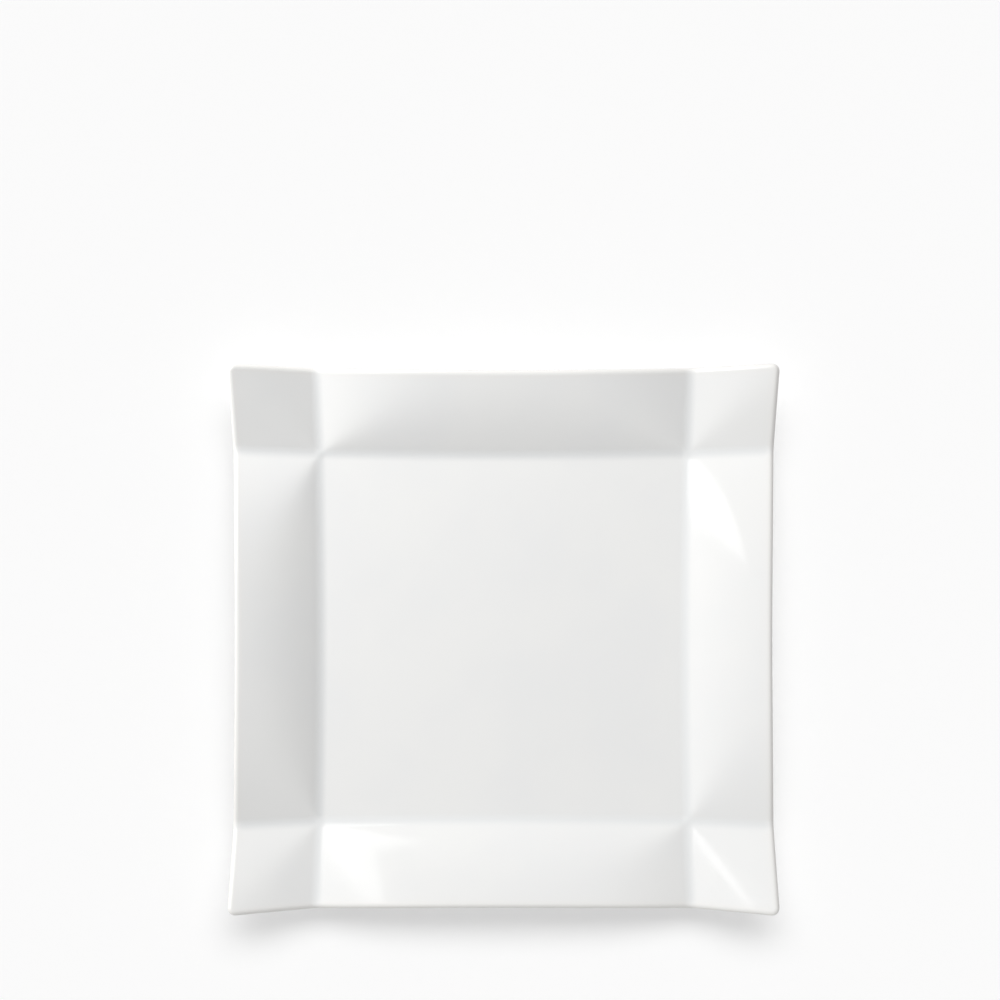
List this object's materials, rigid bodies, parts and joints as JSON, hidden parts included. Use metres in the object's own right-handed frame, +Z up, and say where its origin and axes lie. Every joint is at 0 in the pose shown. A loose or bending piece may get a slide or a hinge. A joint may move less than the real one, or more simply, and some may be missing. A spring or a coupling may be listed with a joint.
{
  "type": "square dessert plate",
  "caption": "Square white glazed porcelain dessert plate: a flat square well, swelling rim bands and flared corner squares parted by creases, on a bare square foot ring.",
  "frame": {"origin": "on the table, under the middle of the plate: the centre of the foot ring's bearing plane", "axes": "+Z up out of the well, X and Y square to the four sides"},
  "size_m": [0.1998, 0.1998, 0.0216],
  "materials": {
    "bare_porcelain": "matt, fine-grained fired porcelain, bare on the foot ring's bearing face",
    "white_glaze": "smooth glossy white glaze, thinner on the lip and pooled in the creases"
  },
  "bodies": {
    "root": {"porcelain_body": "bare_porcelain", "face_glaze": "white_glaze", "base_glaze": "white_glaze"}
  },
  "joints": []
}
